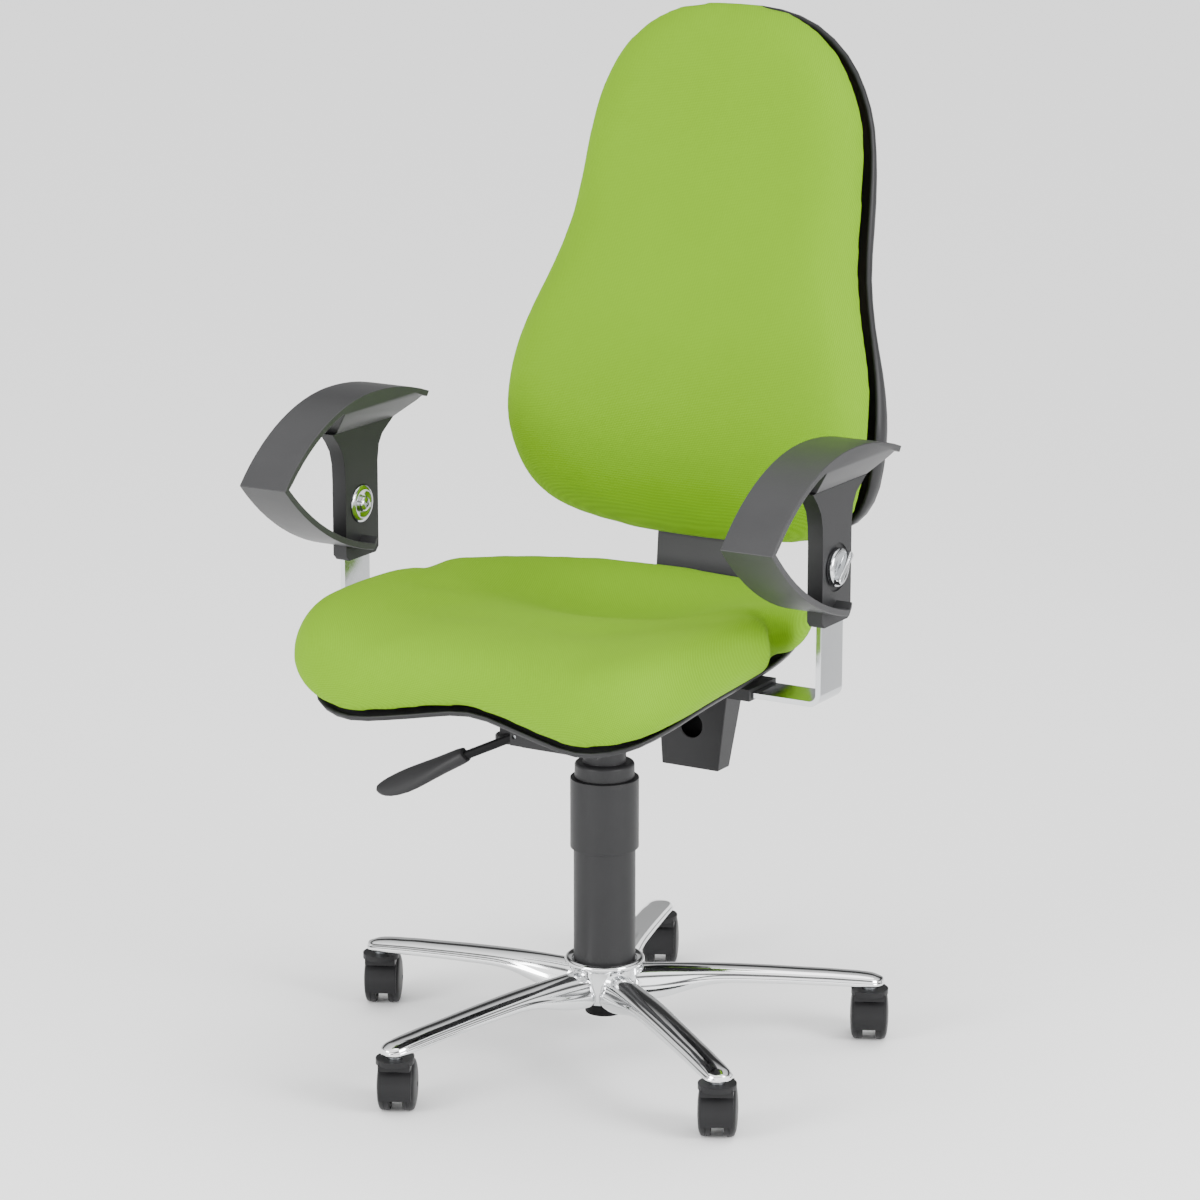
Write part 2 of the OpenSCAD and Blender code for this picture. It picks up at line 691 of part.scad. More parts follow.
// The outline drawn in to scale s about the middle, d behind the widest line.
function back_ring(s, d) = [for (p = back_outline) let (
        x = p[0] * s, z = mix(back_mid_z, p[1], s))
    [x, back_base(x, z) + d, z]];

// The rear shell's surface at scale s, drawn in by t, with a hump over the back bar.
function shell_ring(s, t) = [for (p = back_outline) let (
        x = p[0] * s, z = mix(back_mid_z, p[1], s),
        hump = 40 * exp(-pow(x / 82, 4)) * ease((860 - z) / 130) * ease((1 - s) * 9))
    [x, back_base(x, z) + table(shell_back, z, 1) + hump - t, z]];

module back_cushion() {
    rear = [for (s = [0.05, 0.5, 0.85, 0.94, 0.985])
        back_ring(s, 14 * sqrt(1 - pow(s, 12)))];
    front = [for (s = [1, 0.99, 0.965, 0.92, 0.85, 0.72, 0.56, 0.38, 0.2, 0.04])
        back_ring(s, -pad_front * sqrt(1 - pow(s, 7)))];
    color(green) loft(concat(rear, front));
}

module back_board() {
    plate = [0.05, 0.5, 0.85];
    color("burlywood") loft(concat(
        [for (s = plate) back_ring(s, 23.2)],
        [for (k = [len(plate) - 1:-1:0]) back_ring(plate[k], 16.3)]));
}

module back_shell() {
    steps = [0.05, 0.22, 0.4, 0.58, 0.76, 0.93];
    outer = [for (s = steps) shell_ring(s, 0)];
    edge = [shell_ring(0.965, 3), shell_ring(0.985, 12), back_ring(0.985, 10.5),
            back_ring(0.965, 10.5), shell_ring(0.95, 3 + shell_t)];
    inner = [for (k = [len(steps) - 1:-1:0]) shell_ring(steps[k], shell_t)];
    color(black) difference() {
        loft(concat(outer, edge, inner));
        block([-70, 222, 530], [70, 320, 612]);
    }
}

bar_front_y = 244;
slider_y = 221.6;
slider_hw = 40;
slider_screw_x = [-35, 35];
slider_screw_z = [650, 725];

// Flat steel arm: back from the recline pin, then up behind the backrest.
module back_arm() {
    hw = 30;
    side = [[pivot_y, pivot_z - 10], [205, pivot_z - 10], [226, pivot_z + 10],
            [bar_front_y + 8, 560], [bar_front_y + 8, 745], [bar_front_y, 745],
            [bar_front_y, 562], [217, pivot_z + 12], [202, pivot_z - 2], [pivot_y, pivot_z - 2]];
    color(steel) difference() {
        union() {
            translate([-hw, 0, 0]) rotate([90, 0, 90]) linear_extrude(2 * hw) polygon(side);
            translate([0, pivot_y, pivot_z]) rotate([0, 90, 0])
                cylinder(r = 12, h = mech_w - 21, center = true);
        }
        translate([0, pivot_y, pivot_z]) rotate([0, 90, 0])
            cylinder(r = 6 + run, h = 200, center = true);
    }
}

cover_front = [[193, 287], [197, 377], [203, 440], [212, 500], [225, 550], [236, 588]];
cover_rear = [[264, 588], [262, 550], [253, 490], [242, 410], [230, 340], [220, 287]];

// The solid between the cover's front and rear faces, drawn in by t all round.
module cover_solid(t) {
    intersection() {
        rotate([90, 0, 90]) translate([0, 0, -100]) linear_extrude(200)
            polygon(concat([for (p = cover_front) p + [t, p[1] < 300 ? t : 0]],
                           [for (p = cover_rear) p + [-t, p[1] < 300 ? t : 0]]));
        translate([0, 300, 0]) rotate([90, 0, 0]) linear_extrude(200)
            polygon([[t - cover_low_hw, 287], [cover_low_hw - t, 287],
                     [cover_high_hw - t, 588], [t - cover_high_hw, 588]]);
    }
}

module back_arm_cover() {
    color(black) difference() {
        cover_solid(0);
        difference() {
            cover_solid(2.6);
            block([-80, 150, 584], [80, 300, 600]);
        }
        block([-31, 180, pivot_z - 11], [31, 215, pivot_z + 4]);
        block([-31, bar_front_y - 0.6, 570], [31, bar_front_y + 8.6, 600]);
        translate([0, 180, 337]) rotate([-90, 0, 0]) cylinder(r = 14.5, h = 25);
    }
}

// Guide that carries the backrest along the upright of the steel arm.
module back_slider() {
    color(black) difference() {
        block([-slider_hw, slider_y, 640], [slider_hw, bar_front_y + 16, 735]);
        block([-30.3, bar_front_y - 0.3, 630], [30.3, bar_front_y + 8.3, 740]);
        for (x = slider_screw_x, z = slider_screw_z) translate([x, 300, z]) rotate([90, 0, 0])
            cylinder(r = 2.2, h = 100);
    }
}

module back_screws() {
    color("silver") for (x = slider_screw_x, z = slider_screw_z)
        translate([x, bar_front_y + 16, z]) rotate([90, 0, 0]) {
            translate([0, 0, -2]) cylinder(r = 5, h = 2);
            cylinder(r = 2, h = 50);
        }
}

// ---------- every node ----------

star_base();
caster_stems();
for (i = [1:arms]) {
    caster_hood(i);
    caster_wheel(i, 1);
    caster_wheel(i, -1);
}
stand_tube();
guide_bush();
thrust_bearing();
lower_cover_tube();
piston_rod();
rod_clip();
gas_cylinder();
release_pin();
cover_sleeve();
cover_cap();
mechanism_housing();
seat_plate();
recline_pin();
recline_spring();
lift_lever();
lever_paddle();
lever_pin();
tension_knob();
seat_shell();
seat_board();
seat_cushion();
seat_screws();
back_arm();
back_arm_cover();
back_shell();
back_board();
back_slider();
back_cushion();
back_screws();
arm_holder(1);  // holder_left
arm_holder(-1);  // holder_right
flat_bar(1);  // flat_bar_left
flat_bar(-1);  // flat_bar_right
arm_post(1);  // arm_post_left
arm_post(-1);  // arm_post_right
arm_band(1);  // arm_band_left
arm_band(-1);  // arm_band_right
clamp_bolt(1);  // clamp_bolt_left
clamp_bolt(-1);  // clamp_bolt_right
wing_knob(1);  // wing_knob_left
wing_knob(-1);  // wing_knob_right
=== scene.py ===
"""Visual model of the swivel office chair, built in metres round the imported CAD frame."""

import json
import logging
import math
from dataclasses import dataclass
from enum import Enum
from typing import Iterable, Sequence

import bmesh
import bpy
from mathutils import Matrix, Vector


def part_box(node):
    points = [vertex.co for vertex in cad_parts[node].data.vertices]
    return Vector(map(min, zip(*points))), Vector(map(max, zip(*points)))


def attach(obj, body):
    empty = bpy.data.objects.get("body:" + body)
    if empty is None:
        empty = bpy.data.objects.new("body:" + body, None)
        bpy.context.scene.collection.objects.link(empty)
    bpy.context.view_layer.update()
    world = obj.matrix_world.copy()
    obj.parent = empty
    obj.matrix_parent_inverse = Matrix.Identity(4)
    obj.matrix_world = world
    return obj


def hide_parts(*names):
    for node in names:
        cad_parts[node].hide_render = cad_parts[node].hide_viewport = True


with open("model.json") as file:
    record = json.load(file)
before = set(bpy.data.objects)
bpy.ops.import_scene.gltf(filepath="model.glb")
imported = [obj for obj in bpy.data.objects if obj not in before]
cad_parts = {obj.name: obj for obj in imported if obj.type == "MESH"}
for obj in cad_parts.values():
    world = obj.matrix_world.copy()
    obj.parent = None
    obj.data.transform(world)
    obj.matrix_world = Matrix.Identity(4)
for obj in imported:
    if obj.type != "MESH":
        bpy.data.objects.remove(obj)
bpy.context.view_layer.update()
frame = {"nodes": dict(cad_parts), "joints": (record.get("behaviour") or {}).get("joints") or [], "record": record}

logging.basicConfig(level=logging.INFO, format="%(message)s")
LOG = logging.getLogger("office_chair")

MM = 0.001
ARMS = 5


# ---------- colours and shader nodes ----------


def linear(code: str) -> tuple[float, float, float, float]:
    """Turn an sRGB hex colour into linear light.

    Args:
        code: Six hex digits, such as "8fb84a".

    Returns:
        The linear red, green, blue and an alpha of 1.
    """
    parts = [int(code[i:i + 2], 16) / 255 for i in (0, 2, 4)]
    return (*[c / 12.92 if c <= 0.04045 else ((c + 0.055) / 1.055) ** 2.4 for c in parts], 1.0)


def add_node(tree: bpy.types.NodeTree, kind: str, links: dict | None = None,
             sockets: dict | None = None, **settings: object) -> bpy.types.Node:
    """Add one shader node.

    Args:
        tree: The material's node tree.
        kind: The node's type, such as "ShaderNodeBump".
        links: Input name or number to the output socket that feeds it.
        sockets: Input name or number to its fixed value.
        settings: Attributes set on the node itself.

    Returns:
        The new node.
    """
    node = tree.nodes.new(kind)
    for key, value in settings.items():
        setattr(node, key, value)
    for key, value in (sockets or {}).items():
        node.inputs[key].default_value = value
    for key, output in (links or {}).items():
        tree.links.new(output, node.inputs[key])
    return node


@dataclass(frozen=True)
class Finish:
    """A surface finish: what the stuff is, how it was made and how it takes the light."""

    name: str
    slot: str
    colour: str
    metallic: float = 0.0
    roughness: float = 0.5
    ior: float = 1.5

    def start(self) -> tuple[bpy.types.NodeTree, bpy.types.Node, bpy.types.NodeSocket]:
        """Make the material and set its uniform values.

        Returns:
            The node tree, the Principled shader and the Object coordinates.
        """
        material = bpy.data.materials.new(self.name)
        material.use_nodes = True
        tree = material.node_tree
        shader = tree.nodes["Principled BSDF"]
        shader.inputs["Base Color"].default_value = linear(self.colour)
        shader.inputs["Metallic"].default_value = self.metallic
        shader.inputs["Roughness"].default_value = self.roughness
        if not self.metallic:
            shader.inputs["IOR"].default_value = self.ior
        place = add_node(tree, "ShaderNodeTexCoord").outputs["Object"]
        return tree, shader, place

    def material(self) -> bpy.types.Material:
        """Return the finished material, made once."""
        known = bpy.data.materials.get(self.name)
        if known:
            return known
        tree, shader, place = self.start()
        self.detail(tree, shader, place)
        return bpy.data.materials[self.name]

    def detail(self, tree: bpy.types.NodeTree, shader: bpy.types.Node,
               place: bpy.types.NodeSocket) -> None:
        """Add the finish's own pattern; a plain finish has none."""


@dataclass(frozen=True)
class MirrorMetal(Finish):
    """Polished or plated metal: a clear mirror with faint long ripples and wiped haze."""

    ripple_mm: float = 45.0
    haze: float = 0.05

    def detail(self, tree: bpy.types.NodeTree, shader: bpy.types.Node,
               place: bpy.types.NodeSocket) -> None:
        """Add the ripple of hand polishing and patches of fine haze."""
        wave = add_node(tree, "ShaderNodeTexNoise", {"Vector": place},
                        {"Scale": 1 / (self.ripple_mm * MM), "Detail": 1.0})
        bump = add_node(tree, "ShaderNodeBump", {"Height": wave.outputs["Fac"]},
                        {"Strength": 0.05, "Distance": 0.0008})
        haze = add_node(tree, "ShaderNodeTexNoise", {"Vector": place},
                        {"Scale": 1 / (9 * MM), "Detail": 4.0})
        rough = add_node(tree, "ShaderNodeMapRange", {"Value": haze.outputs["Fac"]},
                         {"From Min": 0.3, "From Max": 0.75, "To Min": self.roughness,
                          "To Max": self.roughness + self.haze})
        tree.links.new(bump.outputs["Normal"], shader.inputs["Normal"])
        tree.links.new(rough.outputs["Result"], shader.inputs["Roughness"])


@dataclass(frozen=True)
class GrainedPlastic(Finish):
    """Moulded plastic with spark-eroded grain: soft broad highlights and a dry touch."""

    grain_mm: float = 1.1
    depth: float = 0.22
    light: str = "4a4a4b"
    gloss: float = 0.3

    def detail(self, tree: bpy.types.NodeTree, shader: bpy.types.Node,
               place: bpy.types.NodeSocket) -> None:
        """Add the grain, slow shade changes and patches rubbed smoother."""
        grain = add_node(tree, "ShaderNodeTexVoronoi", {"Vector": place},
                         {"Scale": 1 / (self.grain_mm * MM), "Randomness": 1.0})
        bump = add_node(tree, "ShaderNodeBump", {"Height": grain.outputs["Distance"]},
                        {"Strength": self.depth, "Distance": 0.00025})
        cloud = add_node(tree, "ShaderNodeTexNoise", {"Vector": place},
                         {"Scale": 1 / (60 * MM), "Detail": 3.0})
        shade = add_node(tree, "ShaderNodeMix", {"Factor": cloud.outputs["Fac"]},
                         {"A": linear(self.colour), "B": linear(self.light)}, data_type="RGBA")
        rough = add_node(tree, "ShaderNodeMapRange", {"Value": cloud.outputs["Fac"]},
                         {"To Min": self.roughness - 0.06, "To Max": self.roughness + 0.06})
        tree.links.new(bump.outputs["Normal"], shader.inputs["Normal"])
        tree.links.new(shade.outputs["Result"], shader.inputs["Base Color"])
        tree.links.new(rough.outputs["Result"], shader.inputs["Roughness"])
        shader.inputs["Specular IOR Level"].default_value = self.gloss


@dataclass(frozen=True)
class BrightSteel(Finish):
    """Zinc-plated steel: a satin grey metal with a fine crystalline mottle."""

    def detail(self, tree: bpy.types.NodeTree, shader: bpy.types.Node,
               place: bpy.types.NodeSocket) -> None:
        """Add the plating's mottle to the roughness and the relief."""
        spots = add_node(tree, "ShaderNodeTexNoise", {"Vector": place},
                         {"Scale": 1 / (2.5 * MM), "Detail": 3.0})
        rough = add_node(tree, "ShaderNodeMapRange", {"Value": spots.outputs["Fac"]},
                         {"To Min": self.roughness - 0.1, "To Max": self.roughness + 0.12})
        bump = add_node(tree, "ShaderNodeBump", {"Height": spots.outputs["Fac"]},
                        {"Strength": 0.1, "Distance": 0.0001})
        tree.links.new(rough.outputs["Result"], shader.inputs["Roughness"])
        tree.links.new(bump.outputs["Normal"], shader.inputs["Normal"])


@dataclass(frozen=True)
class BeechPly(Finish):
    """Raw beech plywood: pale, with long grain and short dark flecks."""

    dark: str = "a87f4e"

    def detail(self, tree: bpy.types.NodeTree, shader: bpy.types.Node,
               place: bpy.types.NodeSocket) -> None:
        """Add grain drawn out along the board."""
        stretch = add_node(tree, "ShaderNodeMapping", {"Vector": place},
                           {"Scale": (1.0, 0.08, 0.08)})
        grain = add_node(tree, "ShaderNodeTexNoise", {"Vector": stretch.outputs["Vector"]},
                         {"Scale": 1 / (3 * MM), "Detail": 5.0})
        shade = add_node(tree, "ShaderNodeMix", {"Factor": grain.outputs["Fac"]},
                         {"A": linear(self.colour), "B": linear(self.dark)}, data_type="RGBA")
        tree.links.new(shade.outputs["Result"], shader.inputs["Base Color"])


@dataclass(frozen=True)
class RibbedKnit(Finish):
    """Warp-knitted polyester: fine slanting ribs, a soft sheen and a slightly dusty bloom."""

    rib_mm: float = 2.2
    row_mm: float = 2.0
    # Knit tones: the light one on the rib crests, the dark one as painted shade in the rib and row hollows.
    light: str = "6d9b0c"
    dark: str = "567e08"

    def wave(self, tree: bpy.types.NodeTree, place: bpy.types.NodeSocket,
             direction: tuple[float, float, float], pitch_mm: float) -> bpy.types.NodeSocket:
        """Add a smooth wave along a direction.

        Args:
            tree: The material's node tree.
            place: Coordinates in metres.
            direction: Where the wave runs; its length is kept.
            pitch_mm: Distance from crest to crest.

        Returns:
            The wave's height, from -1 to 1.
        """
        along = add_node(tree, "ShaderNodeVectorMath", {0: place},
                         {1: Vector(direction) * (2 * math.pi / (pitch_mm * MM))},
                         operation="DOT_PRODUCT")
        return add_node(tree, "ShaderNodeMath", {0: along.outputs["Value"]},
                        operation="SINE").outputs[0]

    def detail(self, tree: bpy.types.NodeTree, shader: bpy.types.Node,
               place: bpy.types.NodeSocket) -> None:
        """Add ribs, stitch rows, fibre fuzz, painted shade that darkens the colour in their hollows, and slow
        random changes of tone.
        """
        fuzz = add_node(tree, "ShaderNodeTexNoise", {"Vector": place},
                        {"Scale": 1 / (1.4 * MM), "Detail": 2.0})
        ribs = self.wave(tree, place, (1.0, 0.35, 0.35), self.rib_mm)
        rows = self.wave(tree, place, (0.0, 1.0, 1.0), self.row_mm)
        knit = add_node(tree, "ShaderNodeMath", {0: ribs, 1: rows}, operation="ADD")
        height = add_node(tree, "ShaderNodeMath",
                          {0: knit.outputs[0], 1: fuzz.outputs["Fac"]}, operation="ADD")
        bump = add_node(tree, "ShaderNodeBump", {"Height": height.outputs[0]},
                        {"Strength": 0.22, "Distance": 0.0004})
        # Painted shade: the colour runs from the dark tone in the hollows of the ribs and stitch rows to the light
        # tone on their crests, following the bump's height, with random fuzz on top.
        share = add_node(tree, "ShaderNodeMapRange", {"Value": height.outputs[0]},
                         {"From Min": -2.6, "From Max": 3.6})
        yarn_with_hollow_shade = add_node(tree, "ShaderNodeMix", {"Factor": share.outputs["Result"]},
                        {"A": linear(self.dark), "B": linear(self.light)}, data_type="RGBA")
        cloud = add_node(tree, "ShaderNodeTexNoise", {"Vector": place},
                         {"Scale": 1 / (120 * MM), "Detail": 2.0})
        shift = add_node(tree, "ShaderNodeMapRange", {"Value": cloud.outputs["Fac"]},
                         {"To Min": 0.95, "To Max": 1.05})
        shade = add_node(tree, "ShaderNodeHueSaturation",
                         {"Color": yarn_with_hollow_shade.outputs["Result"], "Value": shift.outputs["Result"]})
        tree.links.new(shade.outputs["Color"], shader.inputs["Base Color"])
        tree.links.new(bump.outputs["Normal"], shader.inputs["Normal"])
        shader.inputs["Sheen Weight"].default_value = 0.08
        shader.inputs["Sheen Roughness"].default_value = 0.45
        shader.inputs["Sheen Tint"].default_value = linear("c8e070")
        shader.inputs["Specular IOR Level"].default_value = 0.08


# Die-cast aluminium polished on a wheel: a bright, almost liquid mirror.
POLISHED_ALUMINIUM = MirrorMetal("polished_cast_aluminium", "polished_aluminium", "dfe0e1",
                                 metallic=1.0, roughness=0.07, haze=0.04)
# Nickel-chrome plate on flat steel bar: a cooler and slightly darker mirror.
CHROMED_STEEL = MirrorMetal("chrome_plated_steel", "chromed_steel", "bfc1c3",
                            metallic=1.0, roughness=0.1, ripple_mm=80.0, haze=0.06)
# Zinc plate left as it comes from the bath: satin grey.
ZINC_STEEL = BrightSteel("zinc_plated_steel", "zinc_steel", "a4a7aa", metallic=1.0,
                         roughness=0.34)
# Powder coat on steel: deep black with a low even gloss and slight orange peel.
POWDER_COAT = GrainedPlastic("black_powder_coated_steel", "black_steel", "0f0f10",
                             roughness=0.46, gloss=0.08, grain_mm=1.8, depth=0.12, light="161617")
# Injection-moulded polypropylene: charcoal grey, matt, with fine grain.
MOULDED_PP = GrainedPlastic("grained_polypropylene", "black_plastic", "1f1f20",
                            roughness=0.44, gloss=0.2, light="272728")
# Glass-filled nylon: a shade darker and drier than the covers.
MOULDED_NYLON = GrainedPlastic("moulded_nylon", "caster_plastic", "181819", roughness=0.42, gloss=0.15,
                               grain_mm=0.9, depth=0.15, light="222223")
# Integral-skin polyurethane: soft-looking black skin with a faint leathery grain.
FOAM_SKIN = GrainedPlastic("integral_skin_polyurethane", "armrest_foam", "29292a",
                           roughness=0.4, grain_mm=1.5, depth=0.14, light="313132")
# Natural acetal: a milky, slightly waxy white.
ACETAL = GrainedPlastic("natural_acetal", "bush_plastic", "ddd8c8", roughness=0.4,
                        grain_mm=2.0, depth=0.05, light="e6e1d2")
BEECH_PLY = BeechPly("raw_beech_plywood", "plywood", "c9a571", roughness=0.6)
LIME_KNIT = RibbedKnit("lime_polyester_knit", "green_fabric", "65900a", roughness=0.85)
FINISHES = {f.slot: f for f in (POLISHED_ALUMINIUM, CHROMED_STEEL, ZINC_STEEL, POWDER_COAT,
                                MOULDED_PP, MOULDED_NYLON, FOAM_SKIN, ACETAL, BEECH_PLY,
                                LIME_KNIT)}


# ---------- making and placing pieces ----------


def body_with(node: str) -> str:
    """Return the name of the body that holds a CAD node."""
    groups = frame["record"]["behaviour"]["bodies"]
    return next(body for body, nodes in groups.items() if node in nodes)


def finish_of(node: str) -> Finish:
    """Return the finish that the record gives a CAD node."""
    slots = {part["node"]: part["material_slot"] for part in frame["record"]["subparts"]}
    return FINISHES[slots[node]]


def dress(piece: bpy.types.Object, finish: Finish) -> None:
    """Put a finish on a piece."""
    piece.data.materials.clear()
    piece.data.materials.append(finish.material())


def add_piece(name: str, bm: bmesh.types.BMesh, node: str,
              sharp_deg: float = 32.0) -> bpy.types.Object:
    """Turn a bmesh into a piece that stands for a CAD node and rides on its body.

    Args:
        name: The piece's name.
        bm: Its mesh, in the row frame; it is freed.
        node: The CAD node that it replaces.
        sharp_deg: Edges that turn more than this stay sharp.

    Returns:
        The new object.
    """
    mesh = bpy.data.meshes.new(name)
    for face in bm.faces:
        face.smooth = True
    bm.to_mesh(mesh)
    bm.free()
    mesh.set_sharp_from_angle(angle=math.radians(sharp_deg))
    piece = bpy.data.objects.new(name, mesh)
    bpy.context.scene.collection.objects.link(piece)
    finish = finish_of(node)
    dress(piece, finish)
    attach(piece, body_with(node))
    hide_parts(node)
    LOG.info("%s: %d faces", name, len(mesh.polygons))
    return piece


def cad_copy(node: str, flat_deg: float = 0.4) -> bmesh.types.BMesh:
    """Return a merged copy of a CAD node's mesh, with its flat faces made whole.

    Args:
        node: The CAD node.
        flat_deg: Neighbouring triangles within this angle become one face.

    Returns:
        The copy as a bmesh.
    """
    bm = bmesh.new()
    bm.from_mesh(frame["nodes"][node].data)
    bmesh.ops.remove_doubles(bm, verts=bm.verts, dist=0.01 * MM)
    if flat_deg:
        bmesh.ops.dissolve_limit(bm, angle_limit=math.radians(flat_deg), verts=bm.verts,
                                 edges=bm.edges)
    return bm


def sharp_edges(bm: bmesh.types.BMesh, angle_deg: float) -> list[bmesh.types.BMEdge]:
    """Return the edges that turn more than an angle."""
    limit = math.radians(angle_deg)
    return [e for e in bm.edges if len(e.link_faces) == 2 and e.calc_face_angle(0) > limit]


def round_edges(bm: bmesh.types.BMesh, radius_mm: float, segments: int = 3,
                angle_deg: float = 40.0) -> None:
    """Round a mesh's sharp edges.

    Args:
        bm: The mesh.
        radius_mm: Size of the rounding.
        segments: Steps across it.
        angle_deg: Edges that turn more than this are rounded.
    """
    bmesh.ops.bevel(bm, geom=sharp_edges(bm, angle_deg), offset=radius_mm * MM, offset_type="OFFSET",
                    segments=segments, profile=0.5, affect="EDGES", clamp_overlap=True,
                    material=-1)


def weighted_normals(piece: bpy.types.Object) -> None:
    """Keep flat faces flat in shading beside their rounded edges."""
    modifier = piece.modifiers.new("flat_faces", "WEIGHTED_NORMAL")
    modifier.keep_sharp = True
    modifier.weight = 80


def edged(node: str, radius_mm: float, segments: int = 3, angle_deg: float = 40.0,
          suffix: str = "moulded") -> bpy.types.Object:
    """Replace a CAD node by the same shape with rounded edges.

    Args:
        node: The CAD node.
        radius_mm: Size of the rounding.
        segments: Steps across it.
        angle_deg: Edges that turn more than this are rounded.
        suffix: Ending of the piece's name.

    Returns:
        The new piece.
    """
    bm = cad_copy(node)
    round_edges(bm, radius_mm, segments, angle_deg)
    piece = add_piece(f"{node}_{suffix}", bm, node)
    weighted_normals(piece)
    return piece


def spun(bm: bmesh.types.BMesh, profile: Sequence[tuple[float, float]], steps: int = 64) -> None:
    """Add a solid of revolution about Z.

    Args:
        bm: The mesh to add to.
        profile: Radius and height in millimetres, from one end on the axis or, for a ring,
            round to the first point again.
        steps: Segments round the axis.
    """
    verts = [bm.verts.new((r * MM, 0, z * MM)) for r, z in profile]
    edges = [bm.edges.new(pair) for pair in zip(verts, verts[1:])]
    bmesh.ops.spin(bm, geom=verts + edges, cent=(0, 0, 0), axis=(0, 0, 1),
                   angle=2 * math.pi, steps=steps, use_merge=True)
    bmesh.ops.remove_doubles(bm, verts=bm.verts, dist=0.004 * MM)
    bmesh.ops.recalc_face_normals(bm, faces=bm.faces)


def loft(bm: bmesh.types.BMesh, rings: Iterable[Sequence[Vector]]) -> None:
    """Join closed rings of points by bridging them, and close both ends.

    Args:
        bm: The mesh to add to.
        rings: Rings of equal length, in order.
    """
    loops = []
    for ring in rings:
        verts = [bm.verts.new(point) for point in ring]
        loops.append([bm.edges.new(pair) for pair in zip(verts, verts[1:] + verts[:1])])
    for low, high in zip(loops, loops[1:]):
        bmesh.ops.bridge_loops(bm, edges=low + high)
    for end in (loops[0], loops[-1]):
        bmesh.ops.contextual_create(bm, geom=end)
    bmesh.ops.recalc_face_normals(bm, faces=bm.faces)


def put_at(bm: bmesh.types.BMesh, matrix: Matrix) -> None:
    """Move a whole mesh by a matrix."""
    bmesh.ops.transform(bm, matrix=matrix, verts=bm.verts)


def aim(axis: Vector) -> Matrix:
    """Return the turn that takes +Z to an axis."""
    return axis.to_track_quat("Z", "Y").to_matrix().to_4x4()


def joint_named(name: str) -> dict:
    """Return a joint of the record by its name."""
    return next(j for j in frame["joints"] if j["name"] == name)


def curve_at(rows: Sequence[tuple[float, float]], t: float) -> float:
    """Return a smooth value between the rows of a short table.

    Args:
        rows: Pairs of position and value, sorted by position.
        t: The position.

    Returns:
        The value there.
    """
    k = max(0, min(len(rows) - 2, sum(t >= r[0] for r in rows) - 1))
    u = max(0.0, min(1.0, (t - rows[k][0]) / (rows[k + 1][0] - rows[k][0])))
    a, b = rows[max(k - 1, 0)][1], rows[k][1]
    c, d = rows[k + 1][1], rows[min(k + 2, len(rows) - 1)][1]
    return b + 0.5 * u * (c - a + u * (2 * a - 5 * b + 4 * c - d + u * (3 * (b - c) + d - a)))


# ---------- base and casters ----------


